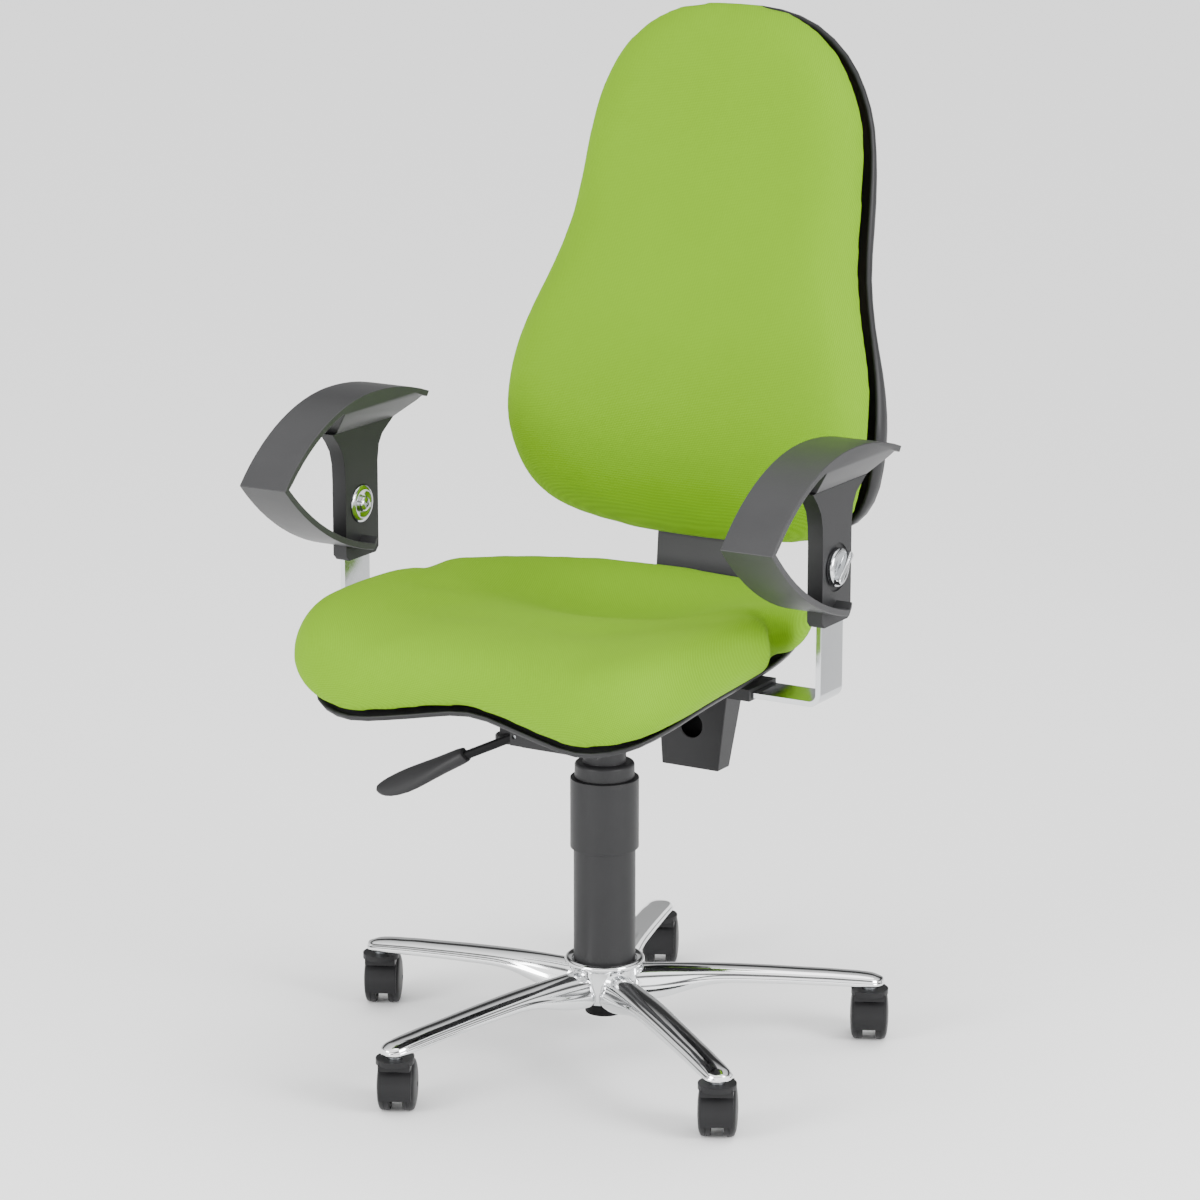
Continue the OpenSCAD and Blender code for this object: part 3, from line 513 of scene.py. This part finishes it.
@dataclass
class CastBase:
    """The five-arm die-cast base, in millimetres."""

    stem_circle: float = 302.0
    tip: float = 16.0
    root: float = 26.0
    station_step: float = 11.5
    stations: int = 24
    tip_steps: int = 8
    arm_top: tuple = ((26, 105), (100, 103), (175, 98), (255, 91), (300, 86), (318, 81.5))
    arm_low: tuple = ((26, 66), (62, 68), (118, 82), (175, 81), (255, 75.5), (318, 70.5))
    half_width: tuple = ((26, 22), (60, 20), (120, 19), (200, 18), (302, 17), (318, 17))
    # Half of an arm's section: share of the half-width, share of the height from the top.
    section: tuple = ((0.0, 0.0), (0.25, 0.015), (0.45, 0.05), (0.63, 0.12), (0.78, 0.23),
                      (0.86, 0.36), (0.89, 0.5), (0.95, 0.56), (1.0, 0.66), (0.99, 0.84),
                      (0.9, 1.0), (0.4, 1.0))

    def ring(self, r: float, shrink: float) -> list[Vector]:
        """Return an arm's section as a closed ring.

        Args:
            r: Distance from the axis.
            shrink: Share of the half-width that is left, for the rounded tip.

        Returns:
            Points in metres along +X.
        """
        top, low = curve_at(self.arm_top, r), curve_at(self.arm_low, r)
        half = curve_at(self.half_width, r) * shrink
        middle = 0.5 * (1 - shrink) * (top - low) * 0.5
        right = [(s * half, top - middle - h * (top - low - 2 * middle)) for s, h in self.section]
        left = [(-y, z) for y, z in reversed(right[1:])]
        return [Vector((r * MM, y * MM, z * MM)) for y, z in right + left]

    def arm(self, bm: bmesh.types.BMesh) -> None:
        """Add one arm along +X."""
        rings = [self.ring(self.root + self.station_step * k, 1.0) for k in range(self.stations)]
        for k in range(1, self.tip_steps):
            turn = math.radians(90 * k / self.tip_steps)
            rings.append(self.ring(self.stem_circle + self.tip * math.sin(turn), math.cos(turn)))
        loft(bm, rings)

    def hub(self, bm: bmesh.types.BMesh) -> None:
        """Add the hub and its rolled top rim."""
        rim = [(41.2 + 4 * math.cos(a), 112 + 4 * math.sin(a))
               for a in [math.radians(t) for t in range(-90, 100, 20)]]
        spun(bm, [(21.9, 68), (21.9, 66), (34, 66), (36.5, 68), (37, 84), (38, 100), (38.5, 107),
                  *rim, (38, 115.4), (35.4, 113.5), (35.4, 110), (25.1, 110), (25.1, 84),
                  (21.9, 82), (21.9, 68)], 96)

    def build(self) -> None:
        """Build the base's five arms and its hub."""
        bm = bmesh.new()
        self.arm(bm)
        copies = bm.faces[:] + bm.edges[:] + bm.verts[:]
        for k in range(1, ARMS):
            made = bmesh.ops.duplicate(bm, geom=copies)["geom"]
            verts = [g for g in made if isinstance(g, bmesh.types.BMVert)]
            bmesh.ops.rotate(bm, verts=verts, cent=(0, 0, 0),
                             matrix=Matrix.Rotation(math.radians(72 * k), 3, "Z"))
        bmesh.ops.rotate(bm, verts=bm.verts, cent=(0, 0, 0),
                         matrix=Matrix.Rotation(math.pi, 3, "Z"))
        self.hub(bm)
        piece = add_piece("star_base_polished", bm, "star_base", 50.0)
        subdivide(piece, 1)


def subdivide(piece: bpy.types.Object, levels: int) -> None:
    """Give a piece a Subdivision Surface modifier."""
    modifier = piece.modifiers.new("smooth_form", "SUBSURF")
    modifier.levels = levels
    modifier.render_levels = levels


@dataclass
class Casters:
    """Twin-wheel casters: domed wheels with a shallow tread on each side of a hood."""

    wheel_radius: float = 29.0
    wheel_width: float = 15.4
    wheel_gap: float = 13.6

    def wheel(self, index: int, side: str) -> None:
        """Build one wheel.

        Args:
            index: The caster's number.
            side: "left" or "right".
        """
        joint = joint_named(f"caster_{index}_wheel_{side}_roll")
        sign = 1 if side == "left" else -1
        r, w = self.wheel_radius, self.wheel_width
        dome = [(r * 0.9 * math.cos(a), w - 3.6 + 3.4 * math.sin(a))
                for a in [math.radians(t) for t in (8, 20, 34, 50, 66, 80)]]
        bm = bmesh.new()
        spun(bm, [(3.05, 0.2), (9, 0.2), (10, 2.2), (r - 6, 2.2), (r - 5, 0.4), (r - 1.2, 0.4),
                  (r, 1.6), (r, 5.2), (r - 0.5, 5.6), (r - 0.5, 6.4), (r, 6.8), (r, w - 6.5),
                  (r - 0.8, w - 4.4), (r - 2.0, w - 3.4), (r - 2.7, w - 3.6), *dome,
                  (3.05, w - 0.2), (3.05, 0.2)], 72)
        axis = Vector(joint["axis"]) * sign
        put_at(bm, Matrix.Translation(Vector(joint["pos_m"]) + axis * self.wheel_gap / 2 * MM)
              @ aim(axis))
        add_piece(f"wheel_{side}_{index}_turned", bm, f"wheel_{side}_{index}", 40.0)

    def build(self) -> None:
        """Build the wheels and hoods of all casters."""
        for index in range(1, ARMS + 1):
            edged(f"caster_hood_{index}", 1.2, 3, 50.0)
            self.wheel(index, "left")
            self.wheel(index, "right")


# ---------- column and mechanism ----------


@dataclass
class Column:
    """Cover tubes, sleeve and cap round the gas lift."""

    edge: float = 0.8

    def build(self) -> None:
        """Round the edges of the tubes and covers that show."""
        for node in ("lower_cover_tube", "cover_sleeve", "stand_tube"):
            edged(node, self.edge, 2, 50.0)
        edged("cover_cap", 1.2, 3, 50.0)


@dataclass
class Mechanism:
    """Housing, lift lever and knob under the seat."""

    flutes: int = 24
    flute_depth: float = 0.035
    handle_steps: int = 24
    # Points down the middle of the handle with its half-width and half-thickness.
    handle: tuple = ((-122, -95, 356, 8.5, 8.0), (-126, -95, 354, 11, 9.5),
                     (-150, -98, 341, 12.5, 9.0), (-172, -101, 329, 14.5, 8),
                     (-196, -103, 316, 15.5, 6.5), (-214, -105, 308.5, 13.5, 5),
                     (-227, -106, 304.5, 9, 3.8), (-233, -106, 303, 4, 2.4))

    def paddle(self) -> None:
        """Build the flattened handle of the lift lever."""
        bm = bmesh.new()
        rings = []
        for k, (x, y, z, wide, thick) in enumerate(self.handle):
            lean = math.radians(32 if k < 5 else 8)
            tilt = math.radians(min(58, 16 * k))
            ring = []
            for step in range(self.handle_steps):
                turn = 2 * math.pi * step / self.handle_steps
                side, up = wide * math.cos(turn), thick * math.sin(turn)
                ring.append(Vector((x - (up * math.cos(tilt) + side * math.sin(tilt))
                                    * math.sin(lean),
                                    y + side * math.cos(tilt) - up * math.sin(tilt),
                                    z + (up * math.cos(tilt) + side * math.sin(tilt))
                                    * math.cos(lean))) * MM)
            rings.append(ring)
        loft(bm, rings)
        round_edges(bm, 1.0, 2, 60.0)
        piece = add_piece("lever_paddle_moulded", bm, "lever_paddle", 60.0)
        subdivide(piece, 1)

    def knob(self) -> None:
        """Build the fluted knob that sets the recline's tension."""
        low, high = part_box("tension_knob")
        middle = (low + high) / 2
        bm = bmesh.new()
        spun(bm, [(0, 1.2), (10, 1.0), (13, 0), (14.6, 0), (16, 1.4), (16, 7.6), (14.8, 9),
                  (5, 9), (4, 10), (4, 25), (0, 25)], self.flutes * 4)
        for vert in bm.verts:
            turn = math.atan2(vert.co.y, vert.co.x)
            if vert.co.xy.length > 12 * MM:
                vert.co.xy *= 1 - self.flute_depth * (0.5 - 0.5 * math.cos(turn * self.flutes))
        put_at(bm, Matrix.Translation((middle.x, middle.y, low.z)))
        add_piece("tension_knob_fluted", bm, "tension_knob", 50.0)

    def build(self) -> None:
        """Build the mechanism's visible pieces."""
        edged("mechanism_housing", 1.4, 3, 50.0)
        edged("lift_lever", 0.8, 2, 50.0)
        edged("seat_plate", 0.6, 2, 50.0)
        self.paddle()
        self.knob()


# ---------- shells ----------


@dataclass
class Shells:
    """The moulded shells under the seat and behind the backrest."""

    def smooth_shell(self, node: str) -> None:
        """Replace a faceted shell by a smooth one."""
        bm = cad_copy(node, 0.0)
        for _ in range(3):
            bmesh.ops.smooth_vert(bm, verts=[v for v in bm.verts if not v.is_boundary],
                                  factor=0.15, use_axis_x=True, use_axis_y=True,
                                  use_axis_z=True)
        add_piece(f"{node}_moulded", bm, node, 55.0)

    def build(self) -> None:
        """Build both shells and the cover of the back arm."""
        self.smooth_shell("seat_shell")
        self.smooth_shell("back_shell")
        edged("back_arm_cover", 5.0, 4, 50.0)
        edged("back_slider", 1.5, 2, 50.0)
        edged("back_arm", 0.8, 2, 50.0)


# ---------- armrests ----------


class Side(Enum):
    """The sitter's left or right, with the sign of its X."""

    LEFT = 1
    RIGHT = -1

    @property
    def label(self) -> str:
        """Name used in the CAD nodes."""
        return self.name.lower()


@dataclass
class Armrest:
    """One armrest: chromed bar, sleeve post, padded band and the clamp through them."""

    side: Side

    def disc_place(self, node: str, outward: int) -> Matrix:
        """Return where a turned piece goes, with +Z pointing away from the post.

        Args:
            node: The CAD node that it replaces.
            outward: 1 for the outer side, -1 for the inner side.

        Returns:
            The placing matrix.
        """
        low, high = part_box(node)
        middle = (low + high) / 2
        axis = Vector((self.side.value * outward, 0, 0))
        near = low.x if axis.x > 0 else high.x
        return Matrix.Translation((near, middle.y, middle.z)) @ aim(axis)

    def washer(self) -> None:
        """Build the dished washer and domed bolt head on the inner side."""
        node = f"clamp_bolt_{self.side.label}"
        bm = bmesh.new()
        spun(bm, [(0, 0), (4, 0), (4, 19), (20.8, 19), (21.5, 19.8), (21.5, 21.6), (20.6, 22.6),
                  (17, 24.2), (14, 23.6), (11.5, 22.4), (9.2, 22.2), (8.9, 23), (8.6, 25.4),
                  (7.4, 26.9), (5, 27.8), (4.2, 27.9), (3.9, 25.8), (0, 25.4)], 72)
        put_at(bm, self.disc_place(node, -1))
        add_piece(f"{node}_turned", bm, node, 45.0)

    def knob(self) -> None:
        """Build the clamp knob with its bar grip on the outer side."""
        node = f"wing_knob_{self.side.label}"
        bm = bmesh.new()
        spun(bm, [(4.05, 0), (20, 0), (21, 1), (21, 4.6), (20.2, 5.8), (18, 7.4), (15.5, 7.2),
                  (11, 6.2), (7, 5.9), (4.05, 5.9), (4.05, 0)], 72)
        grip = bmesh.new()
        bmesh.ops.create_cube(grip, size=1)
        bmesh.ops.transform(grip, verts=grip.verts,
                            matrix=Matrix.Diagonal((40 * MM, 8.6 * MM, 9.4 * MM, 1)))
        bmesh.ops.translate(grip, verts=grip.verts, vec=(0, 0, 9.3 * MM))
        bmesh.ops.subdivide_edges(grip, edges=[e for e in grip.edges
                                               if abs(e.verts[0].co.x - e.verts[1].co.x) > 0.01],
                                  cuts=6, use_grid_fill=True)
        for vert in grip.verts:
            waist = 1 - 0.32 * math.cos(vert.co.x / (20 * MM) * math.pi / 2) ** 2
            vert.co.y *= waist
        bmesh.ops.rotate(grip, verts=grip.verts, cent=(0, 0, 0),
                         matrix=Matrix.Rotation(math.radians(45), 3, "Z"))
        round_edges(grip, 2.4, 4, 50.0)
        mesh = bpy.data.meshes.new("grip")
        grip.to_mesh(mesh)
        grip.free()
        bm.from_mesh(mesh)
        bpy.data.meshes.remove(mesh)
        put_at(bm, self.disc_place(node, 1))
        add_piece(f"{node}_cast", bm, node, 45.0)

    def build(self) -> None:
        """Build the armrest's pieces."""
        label = self.side.label
        edged(f"flat_bar_{label}", 0.9, 2, 50.0, "plated")
        edged(f"holder_{label}", 1.5, 3, 50.0)
        edged(f"arm_post_{label}", 2.6, 4, 50.0)
        edged(f"arm_band_{label}", 1.8, 4, 50.0)
        self.washer()
        self.knob()


# ---------- upholstery ----------


@dataclass
class Cushion:
    """A padded form: the CAD solid remeshed, swelled as cloth and dressed in knit."""

    node: str
    voxel_mm: float = 6.0
    relax: int = 14
    pressure: float = 4.0
    swell_mm: float = 6.0
    fill: float = 0.85
    frames: int = 20

    def __post_init__(self) -> None:
        """Note the height range of the CAD solid."""
        low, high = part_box(self.node)
        self.floor_z, self.height = low.z, high.z - low.z

    def rise(self, point: Vector) -> float:
        """Return how high a point is, from 0 at the bottom to 1 at the top."""
        return (point.z - self.floor_z) / self.height

    def free_share(self, point: Vector) -> float:
        """Return how freely the cover may move at a point, from 0 to 1."""
        return 1.0

    def shape(self, point: Vector, normal: Vector) -> Vector:
        """Return a point of the relaxed form after shaping."""
        return point

    def base_mesh(self) -> bpy.types.Object:
        """Return the remeshed and relaxed form, linked to the scene."""
        bm = cad_copy(self.node, 0.0)
        mesh = bpy.data.meshes.new(f"{self.node}_upholstered")
        bm.to_mesh(mesh)
        bm.free()
        piece = bpy.data.objects.new(mesh.name, mesh)
        bpy.context.scene.collection.objects.link(piece)
        remesh = piece.modifiers.new("voxels", "REMESH")
        remesh.mode = "VOXEL"
        remesh.voxel_size = self.voxel_mm * MM
        self.apply(piece)
        bm = bmesh.new()
        bm.from_mesh(piece.data)
        for _ in range(self.relax):
            bmesh.ops.smooth_vert(bm, verts=bm.verts, factor=0.5, use_axis_x=True,
                                  use_axis_y=True, use_axis_z=True)
        bm.normal_update()
        for vert, place_to in [(v, self.shape(v.co.copy(), v.normal.copy())) for v in bm.verts]:
            vert.co = place_to
        bm.to_mesh(piece.data)
        bm.free()
        return piece

    @staticmethod
    def apply(piece: bpy.types.Object) -> None:
        """Replace a piece's mesh by its evaluated mesh and drop its modifiers."""
        graph = bpy.context.evaluated_depsgraph_get()
        mesh = bpy.data.meshes.new_from_object(piece.evaluated_get(graph))
        piece.modifiers.clear()
        old = piece.data
        piece.data = mesh
        bpy.data.meshes.remove(old)

    def inflate(self, piece: bpy.types.Object) -> None:
        """Swell the cover under inner pressure, within the cap that its place allows."""
        rest = [v.co.copy() for v in piece.data.vertices]
        cloth = piece.modifiers.new("cover", "CLOTH")
        settings = cloth.settings
        settings.quality = 5
        settings.mass = 0.3
        settings.tension_stiffness = 18
        settings.compression_stiffness = 18
        settings.bending_stiffness = 6
        settings.use_pressure = True
        settings.uniform_pressure_force = self.pressure
        settings.effector_weights.gravity = 0
        cloth.point_cache.frame_start = 1
        cloth.point_cache.frame_end = self.frames
        scene = bpy.context.scene
        for step in range(1, self.frames + 1):
            scene.frame_set(step)
        self.apply(piece)
        scene.frame_set(1)
        for vert, start in zip(piece.data.vertices, rest):
            move = vert.co - start
            limit = self.swell_mm * MM * self.free_share(start)
            if move.length > limit:
                move *= limit / move.length
            vert.co = start + move

    def build(self) -> None:
        """Build the cushion."""
        piece = self.base_mesh()
        self.inflate(piece)
        bm = bmesh.new()
        bm.from_mesh(piece.data)
        for _ in range(3):
            bmesh.ops.smooth_vert(bm, verts=bm.verts, factor=0.5, use_axis_x=True,
                                  use_axis_y=True, use_axis_z=True)
        for face in bm.faces:
            face.smooth = True
        bm.to_mesh(piece.data)
        bm.free()
        dress(piece, LIME_KNIT)
        subdivide(piece, 1)
        self.apply(piece)
        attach(piece, body_with(self.node))
        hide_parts(self.node)
        LOG.info("%s: %d faces", piece.name, len(piece.data.polygons))


@dataclass
class SeatCushion(Cushion):
    """The saddle-edged seat, with the crease that runs out to the sitter's left."""

    node: str = "seat_cushion"
    # The crease, point by point with its depth and width, in millimetres.
    crease: tuple = ((140, 62, 1.0, 34), (178, 38, 4.0, 26), (205, 6, 9.0, 17),
                     (236, -32, 15.0, 12), (262, -58, 17.0, 12))
    # The dish's depth, then its half-width, the middle of its length and its half-length.
    dish_mm: float = 19.0
    dish_at: tuple = (150, 25, 105)
    swell_mm: float = 3.0

    def free_share(self, point: Vector) -> float:
        """Let the sitting surface swell and hold the part inside the shell."""
        return max(0.0, min(1.0, (self.rise(point) - 0.45) * 3))

    def shape(self, point: Vector, normal: Vector) -> Vector:
        """Press the dish and the crease into the cover."""
        flat = point.xy / MM
        best, depth = 1e9, 0.0
        for (x0, y0, d0, w0), (x1, y1, d1, w1) in zip(self.crease, self.crease[1:]):
            a, b = Vector((x0, y0)), Vector((x1, y1))
            share = max(0.0, min(1.0, (flat - a).dot(b - a) / (b - a).length_squared))
            away = (flat - a.lerp(b, share)).length / (w0 + (w1 - w0) * share)
            if away < best:
                best, depth = away, d0 + (d1 - d0) * share
        fade = max(0.0, min(1.0, self.rise(point) * 4 - 1.0))
        wide, middle, deep = self.dish_at
        dish = math.exp(-(flat.x / wide) ** 2 - ((flat.y - middle) / deep) ** 2)
        dish *= max(0.0, normal.z)
        sunk = depth * fade * math.exp(-best * best) + self.dish_mm * dish
        return point - normal * sunk * MM


@dataclass
class BackCushion(Cushion):
    """The pear-shaped back cushion."""

    node: str = "back_cushion"

    def free_share(self, point: Vector) -> float:
        """Let the front swell and hold the part that meets the shell."""
        edge = min(self.rise(point), 1 - self.rise(point)) / 0.12
        return max(0.0, min(1.0, edge)) * 0.8


# ---------- everything else ----------


def dress_carried_nodes() -> None:
    """Give each CAD node that still shows its own material."""
    for name, node in frame["nodes"].items():
        if not node.hide_render:
            dress(node, finish_of(name))


@dataclass
class Studio:
    """Camera, floor and soft light."""

    lens: float = 125.784
    eye: tuple = (2.28096, -3.85556, 1.63992)
    back: tuple = (0.4951, -0.8347, 0.2411)
    bright_side: tuple = (0.35, -0.9, 0.2)
    dark_level: float = 0.35
    bright_level: float = 3.1

    def camera(self) -> None:
        """Place the camera."""
        data = bpy.data.cameras.new("view")
        data.lens = self.lens
        data.sensor_width = 36
        camera = bpy.data.objects.new("view", data)
        camera.location = self.eye
        camera.rotation_euler = (-Vector(self.back)).to_track_quat("-Z", "Y").to_euler()
        bpy.context.scene.collection.objects.link(camera)
        bpy.context.scene.camera = camera

    def floor(self) -> None:
        """Lay the pale floor."""
        bm = bmesh.new()
        bmesh.ops.create_grid(bm, x_segments=1, y_segments=1, size=30)
        mesh = bpy.data.meshes.new("floor")
        bm.to_mesh(mesh)
        bm.free()
        floor = bpy.data.objects.new("floor", mesh)
        bpy.context.scene.collection.objects.link(floor)
        material = bpy.data.materials.new("pale_floor")
        material.use_nodes = True
        shader = material.node_tree.nodes["Principled BSDF"]
        shader.inputs["Base Color"].default_value = linear("f8f8f8")
        shader.inputs["Roughness"].default_value = 0.7
        mesh.materials.append(material)

    def sun(self, lean: tuple, power: float, spread: float) -> None:
        """Add a broad overhead light that falls alike on the whole floor.

        Args:
            lean: The direction that it comes from.
            power: Its strength.
            spread: Its apparent width in degrees.
        """
        data = bpy.data.lights.new("top_light", "SUN")
        data.energy = power
        data.angle = math.radians(spread)
        sun = bpy.data.objects.new("top_light", data)
        sun.rotation_euler = Vector(lean).to_track_quat("Z", "Y").to_euler()
        bpy.context.scene.collection.objects.link(sun)

    def lamp(self, name: str, at: tuple, size: float, power: float) -> None:
        """Hang a square soft light aimed at the chair.

        Args:
            name: The light's name.
            at: Its place in metres.
            size: Its side in metres.
            power: Its power in watts.
        """
        data = bpy.data.lights.new(name, "AREA")
        data.size = size
        data.energy = power
        lamp = bpy.data.objects.new(name, data)
        lamp.location = at
        lamp.rotation_euler = (Vector((0, 0, 0.6)) - Vector(at)).to_track_quat("-Z", "Y").to_euler()
        bpy.context.scene.collection.objects.link(lamp)

    def flag(self, name: str, at: tuple, width: float, height: float, turn: float) -> None:
        """Stand a dark card outside the picture, for the metal to mirror.

        Args:
            name: The card's name.
            at: The middle of its foot in metres.
            width: Its width in metres.
            height: Its height in metres.
            turn: Its direction in degrees about Z.
        """
        bm = bmesh.new()
        bmesh.ops.create_grid(bm, x_segments=1, y_segments=1, size=0.5)
        put_at(bm, Matrix.Translation((at[0], at[1], at[2] + height / 2))
              @ Matrix.Rotation(math.radians(turn), 4, "Z") @ Matrix.Rotation(math.pi / 2, 4, "X")
              @ Matrix.Diagonal((width, height, 1, 1)))
        mesh = bpy.data.meshes.new(name)
        bm.to_mesh(mesh)
        bm.free()
        card = bpy.data.objects.new(name, mesh)
        bpy.context.scene.collection.objects.link(card)
        material = bpy.data.materials.new(name)
        material.use_nodes = True
        material.node_tree.nodes["Principled BSDF"].inputs["Base Color"].default_value = (
            linear("1c1c1c"))
        mesh.materials.append(material)

    def sky(self) -> None:
        """Surround the chair with white, darker in a band above the horizon and behind."""
        world = bpy.data.worlds.new("studio")
        bpy.context.scene.world = world
        world.use_nodes = True
        tree = world.node_tree
        back = tree.nodes["Background"]
        place = add_node(tree, "ShaderNodeTexCoord").outputs["Generated"]
        height = add_node(tree, "ShaderNodeSeparateXYZ", {"Vector": place}).outputs["Z"]
        ramp = add_node(tree, "ShaderNodeValToRGB", {"Fac": height})
        stops = ramp.color_ramp.elements
        stops[0].position, stops[0].color = 0.0, (1.06, 1.06, 1.06, 1)
        stops[1].position, stops[1].color = 1.0, (1, 1, 1, 1)
        for position, value in ((0.26, 1.06), (0.35, 0.1), (0.5, 0.06), (0.62, 0.94)):
            stops.new(position).color = (value, value, value, 1)
        tree.links.new(ramp.outputs["Color"], back.inputs["Color"])
        facing = add_node(tree, "ShaderNodeVectorMath", {0: place}, {1: self.bright_side},
                          operation="DOT_PRODUCT")
        level = add_node(tree, "ShaderNodeMapRange", {"Value": facing.outputs["Value"]},
                         {"From Min": -1.0, "To Min": self.dark_level,
                          "To Max": self.bright_level})
        tree.links.new(level.outputs["Result"], back.inputs["Strength"])

    def build(self) -> None:
        """Set the whole stage."""
        self.camera()
        self.floor()
        self.sun((0.1, 0.15, 1.0), 1.1, 40.0)
        self.lamp("side_light", (3.0, -0.4, 1.5), 1.2, 115)
        self.lamp("front_light", (-1.5, -4.2, 1.7), 1.8, 190)
        self.flag("side_flag", (1.75, 1.7, 0.0), 1.5, 0.9, 35)
        self.sky()


def main() -> None:
    """Build the chair in order."""
    Studio().build()
    for assembly in (CastBase(), Casters(), Column(), Mechanism(), Shells(),
                     Armrest(Side.LEFT), Armrest(Side.RIGHT), SeatCushion(), BackCushion()):
        LOG.info("building %s", type(assembly).__name__)
        assembly.build()
    dress_carried_nodes()


if __name__ == "__main__":
    main()
